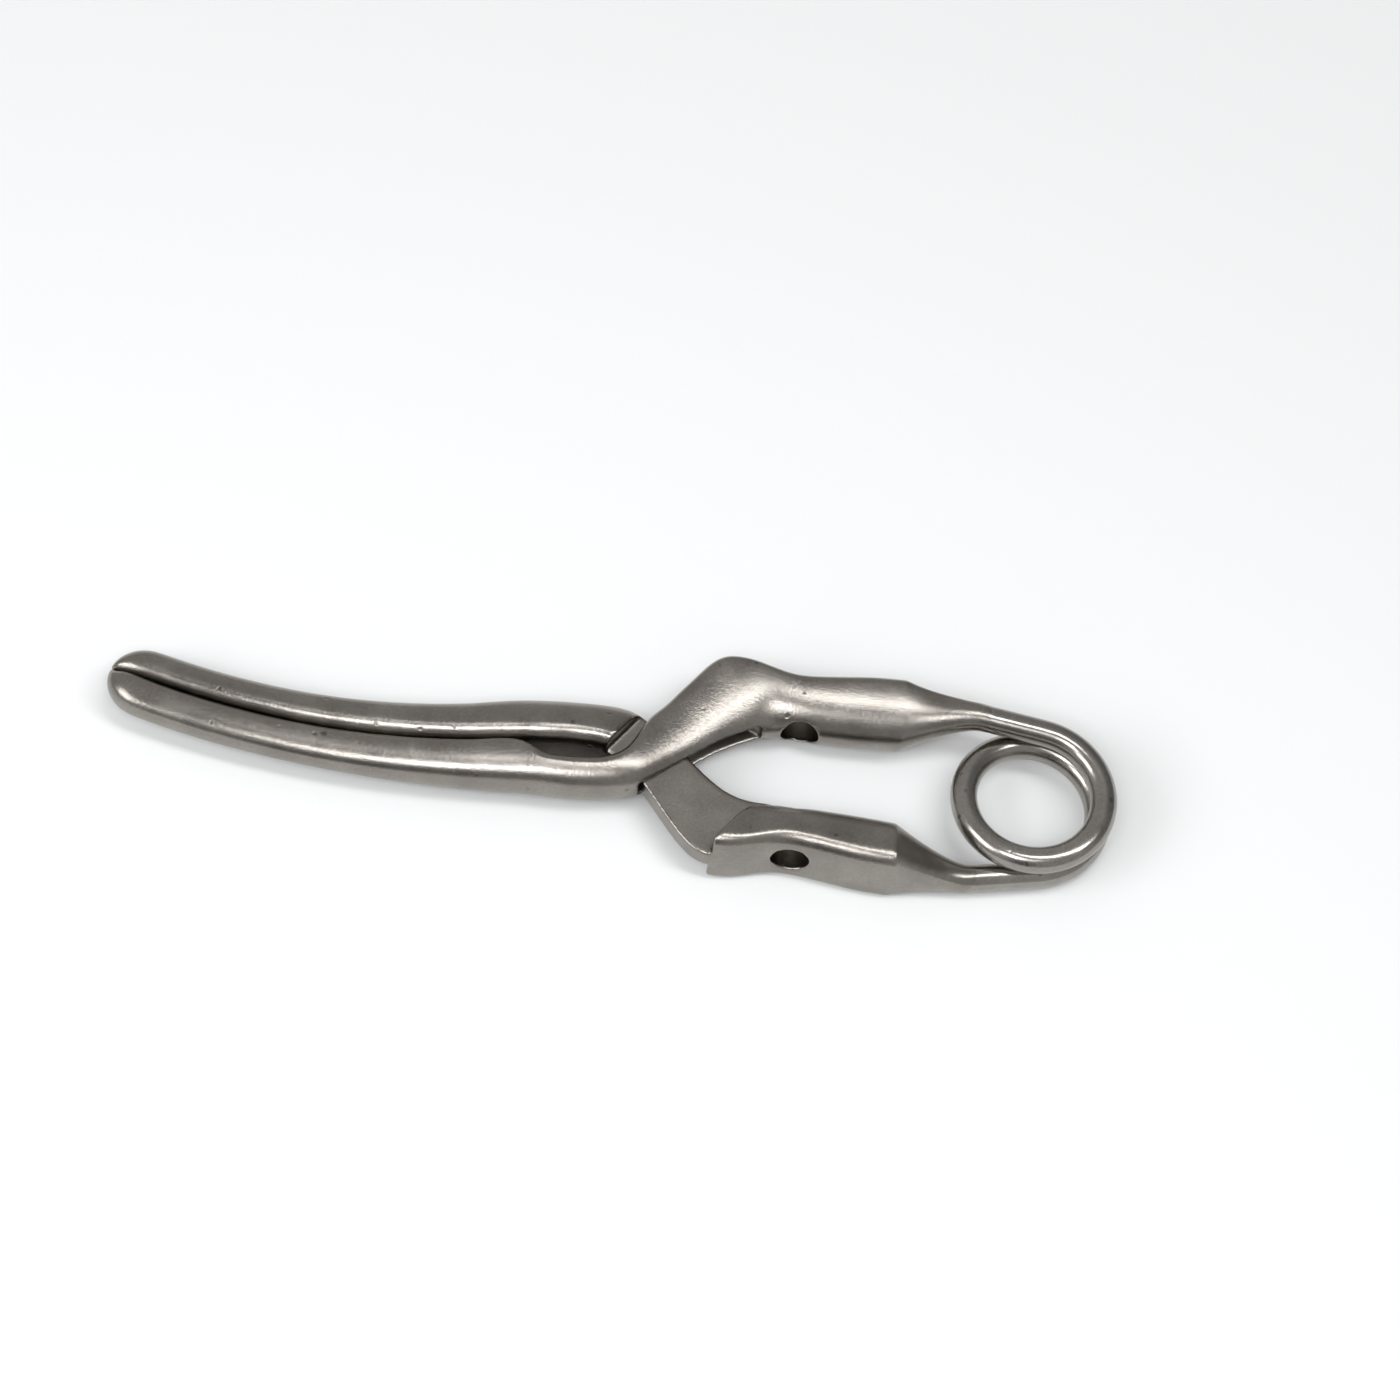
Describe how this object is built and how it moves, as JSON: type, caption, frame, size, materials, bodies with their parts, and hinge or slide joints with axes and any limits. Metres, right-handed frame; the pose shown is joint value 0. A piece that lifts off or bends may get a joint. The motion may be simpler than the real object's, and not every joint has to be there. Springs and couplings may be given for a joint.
{
  "type": "cross-action spring clamp",
  "caption": "Cross-action spring clamp with curved half-round jaws, a pinless slotted box joint, drilled finger pads and a coiled wire spring.",
  "frame": {"origin": "middle of the overall length, on the plane that the finger pads rest on, midway between the two pads", "axes": "+X from the jaw tips to the spring, +Y to the pad of the slotted arm, +Z along the coil's axis, away from the resting plane"},
  "size_m": [0.1202, 0.0262, 0.0089],
  "materials": {
    "satin_steel": "satin, fine blasted grain with polished edges",
    "spring_wire": "drawn wire, lightly polished"
  },
  "bodies": {
    "slotted_arm": {"slotted_arm": "satin_steel", "spring": "spring_wire"},
    "tongue_arm": {"tongue_arm": "satin_steel"}
  },
  "joints": [
    {"name": "jaw_opening", "type": "hinge", "parent": "slotted_arm", "child": "tongue_arm", "pos_m": [0.0501, 0, 0.0044], "axis": [0, 0, -1], "range_deg": [0, 14], "stiffness_Nm_per_rad": 12, "springref_deg": -2.86, "deforming": ["spring"]}
  ]
}
